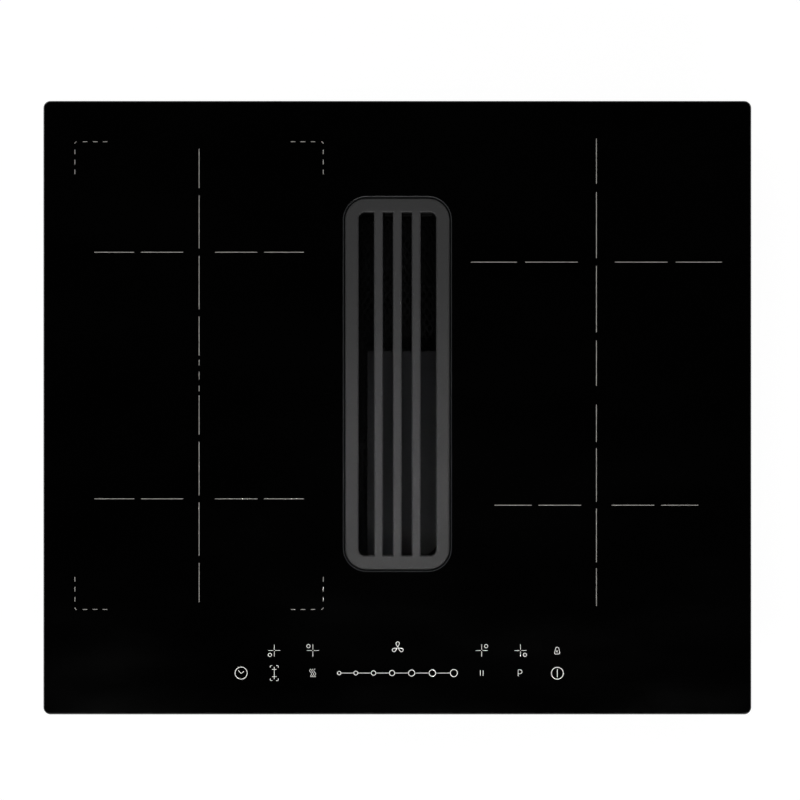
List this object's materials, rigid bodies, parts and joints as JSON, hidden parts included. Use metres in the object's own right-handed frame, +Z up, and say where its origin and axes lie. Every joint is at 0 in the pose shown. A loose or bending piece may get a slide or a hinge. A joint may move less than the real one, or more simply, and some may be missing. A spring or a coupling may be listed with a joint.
{
  "type": "downdraft induction cooktop",
  "caption": "Built-in black glass induction cooktop with touch controls and a lift-out central air grille over a filter cassette, drip tray and radial blower with a rear duct collar.",
  "frame": {"origin": "centre of the glass in plan, at the worktop's top face, where the rim seal's underside rests", "axes": "+Z up from the worktop, +Y to the back of the cooktop, +X to the user's right; the touch controls are at -Y"},
  "size_m": [0.6, 0.52, 0.2115],
  "materials": {
    "black_glass": "polished",
    "seal_foam": "matt",
    "black_moulding": "matt",
    "grille_enamel": "satin",
    "black_rubber": "matt",
    "zinc_sheet": "galvanised",
    "ferrite": "matt",
    "mica": "satin",
    "white_moulding": "satin",
    "capacitor_case": "gloss",
    "copper_wire": "satin",
    "circuit_board": "gloss",
    "spring_steel": "bright",
    "grey_moulding": "satin",
    "filter_metal": "black anodised expanded mesh",
    "dark_panel": "satin",
    "deck_aluminium": "satin"
  },
  "bodies": {
    "hob": {"glass_top": "black_glass", "worktop_seal": "seal_foam", "inlet_frame": "black_moulding", "base_tray": "zinc_sheet", "ferrite_bars": "ferrite", "mica_sheets": "mica", "temperature_sensors": "white_moulding", "deck_posts": "zinc_sheet", "board_spacers": "white_moulding", "power_capacitors": "capacitor_case", "line_chokes": "copper_wire", "control_carrier": "white_moulding", "control_board": "circuit_board", "touch_springs": "spring_steel", "display_modules": "black_moulding", "terminal_block": "white_moulding", "cable_gland": "black_moulding", "suction_box": "black_moulding", "plenum": "black_moulding", "blower_housing": "black_moulding", "blower_cover": "black_moulding", "blower_motor": "zinc_sheet", "duct_outlet": "black_moulding", "retaining_springs": "spring_steel", "spring_screws": "spring_steel", "box_screws": "spring_steel", "motor_screws": "spring_steel", "coil_deck_left": "deck_aluminium", "power_board_left": "circuit_board", "heatsink_left": "deck_aluminium", "fan_frame_left": "black_moulding", "coil_deck_right": "deck_aluminium", "power_board_right": "circuit_board", "heatsink_right": "deck_aluminium", "fan_frame_right": "black_moulding", "coil_winding_rear_left": "copper_wire", "coil_former_rear_left": "white_moulding", "coil_winding_front_left": "copper_wire", "coil_former_front_left": "white_moulding", "coil_winding_rear_right": "copper_wire", "coil_former_rear_right": "white_moulding", "coil_winding_front_right": "copper_wire", "coil_former_front_right": "white_moulding"},
    "grille": {"air_grille": "grille_enamel", "grille_pads": "black_rubber"},
    "filter": {"filter_cassette": "black_moulding", "filter_mesh": "filter_metal", "drip_deflector": "dark_panel"},
    "drip_tray": {"drip_tray": "grey_moulding"},
    "blower_wheel": {"impeller": "grey_moulding", "motor_shaft": "spring_steel"},
    "fan_left": {"fan_rotor_left": "black_moulding"},
    "fan_right": {"fan_rotor_right": "black_moulding"}
  },
  "joints": [
    {"name": "grille_lift", "type": "slide", "parent": "hob", "child": "grille", "axis": [0, 0, 1], "range_m": [0, 0.3]},
    {"name": "filter_lift", "type": "slide", "parent": "hob", "child": "filter", "axis": [0, 0, 1], "range_m": [0, 0.25]},
    {"name": "tray_lift", "type": "slide", "parent": "hob", "child": "drip_tray", "axis": [0, 0, 1], "range_m": [0, 0.225]},
    {"name": "blower_spin", "type": "hinge", "parent": "hob", "child": "blower_wheel", "pos_m": [0.146, -0.01, -0.1225], "axis": [0, 0, 1], "continuous": true},
    {"name": "fan_left_spin", "type": "hinge", "parent": "hob", "child": "fan_left", "pos_m": [-0.1685, -0.112, -0.042], "axis": [0, 0, 1], "continuous": true},
    {"name": "fan_right_spin", "type": "hinge", "parent": "hob", "child": "fan_right", "pos_m": [0.1685, -0.112, -0.042], "axis": [0, 0, 1], "continuous": true}
  ],
  "couplings": [
    {"joint": "filter_lift", "follows": "grille_lift", "ratio": 0.8333},
    {"joint": "tray_lift", "follows": "grille_lift", "ratio": 0.75}
  ]
}
